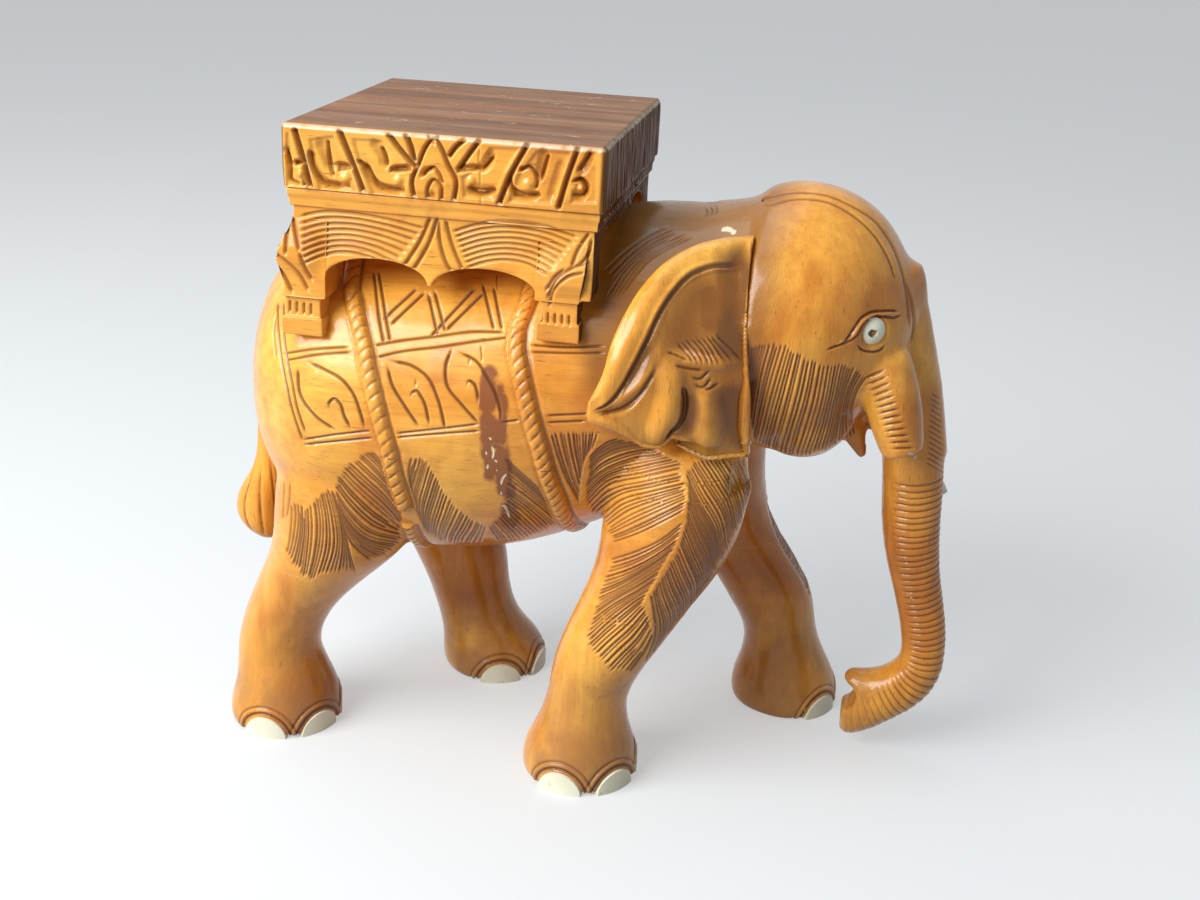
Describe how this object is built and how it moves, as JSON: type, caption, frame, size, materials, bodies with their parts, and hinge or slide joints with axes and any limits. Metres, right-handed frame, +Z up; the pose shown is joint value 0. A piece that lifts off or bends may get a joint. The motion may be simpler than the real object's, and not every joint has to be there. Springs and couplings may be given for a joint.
{
  "type": "carved elephant stool",
  "caption": "Carved wooden elephant in mid stride with a flat square seat on an arcaded frame over its back, for sitting on or setting a plant or lamp on.",
  "frame": {"origin": "on the ground under the middle of the whole carving", "axes": "+X toward the head, +Y to the elephant's left, +Z up"},
  "size_m": [0.5434, 0.2546, 0.455],
  "materials": {
    "varnished_wood": "aged honey varnish over carved hardwood, satin to gloss",
    "dark_wood": "worn dark brown varnish, streaked along the grain",
    "dowel_wood": "bare turned hardwood, glued",
    "cream_inlay": "polished cream inlay"
  },
  "bodies": {
    "root": {"torso": "varnished_wood", "head": "varnished_wood", "trunk": "varnished_wood", "leg_front_right": "varnished_wood", "leg_front_left": "varnished_wood", "leg_rear_right": "varnished_wood", "leg_rear_left": "varnished_wood", "seat_frame": "varnished_wood", "ear_right": "varnished_wood", "ear_left": "varnished_wood", "tail": "varnished_wood", "seat_slab": "dark_wood", "leg_dowels": "dowel_wood", "neck_dowels": "dowel_wood", "ear_dowels": "dowel_wood", "trunk_dowel": "dowel_wood", "tail_dowel": "dowel_wood", "slab_dowels": "dowel_wood", "seat_dowels": "dowel_wood", "nail_front_right_1": "cream_inlay", "nail_front_right_2": "cream_inlay", "nail_front_right_3": "cream_inlay", "nail_front_left_1": "cream_inlay", "nail_front_left_2": "cream_inlay", "nail_front_left_3": "cream_inlay", "nail_rear_right_1": "cream_inlay", "nail_rear_right_2": "cream_inlay", "nail_rear_right_3": "cream_inlay", "nail_rear_left_1": "cream_inlay", "nail_rear_left_2": "cream_inlay", "nail_rear_left_3": "cream_inlay", "eye_right": "cream_inlay", "eye_left": "cream_inlay", "tusk_left": "cream_inlay"}
  },
  "joints": []
}
